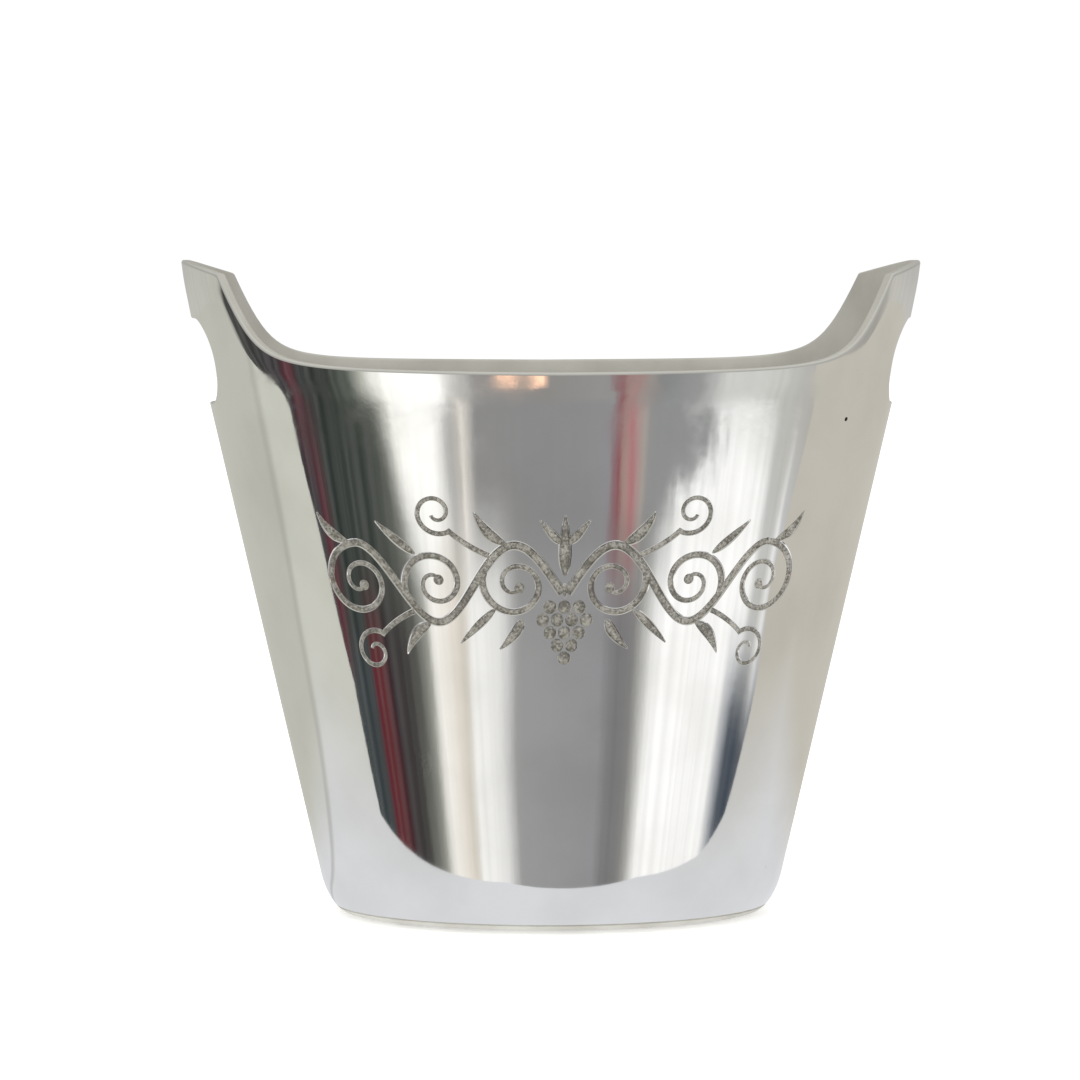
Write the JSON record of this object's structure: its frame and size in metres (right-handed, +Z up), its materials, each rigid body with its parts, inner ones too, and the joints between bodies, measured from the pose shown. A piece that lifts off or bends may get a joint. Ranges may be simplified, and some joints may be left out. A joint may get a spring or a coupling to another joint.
{
  "type": "ice bucket",
  "caption": "Oval flared ice bucket for wine bottles, polished cast metal, with two raised ears pierced by hand slots.",
  "frame": {"origin": "on the ground plane, under the middle of the oval base", "axes": "+Z up out of the mouth, +X through the two ears, Y across the front and back"},
  "size_m": [0.2758, 0.1906, 0.244],
  "materials": {
    "polished_metal": "hand-polished cast metal with fine buffing lines, satin inside",
    "satin_metal": "satin cast metal with a dulled rounded lip",
    "filler_metal": "smoothed filler bead, satin",
    "grey_felt": "short dense felt"
  },
  "bodies": {
    "root": {"bucket_wall": "polished_metal", "base_plate": "satin_metal", "sealing_bead": "filler_metal", "felt_pads": "grey_felt"}
  },
  "joints": []
}
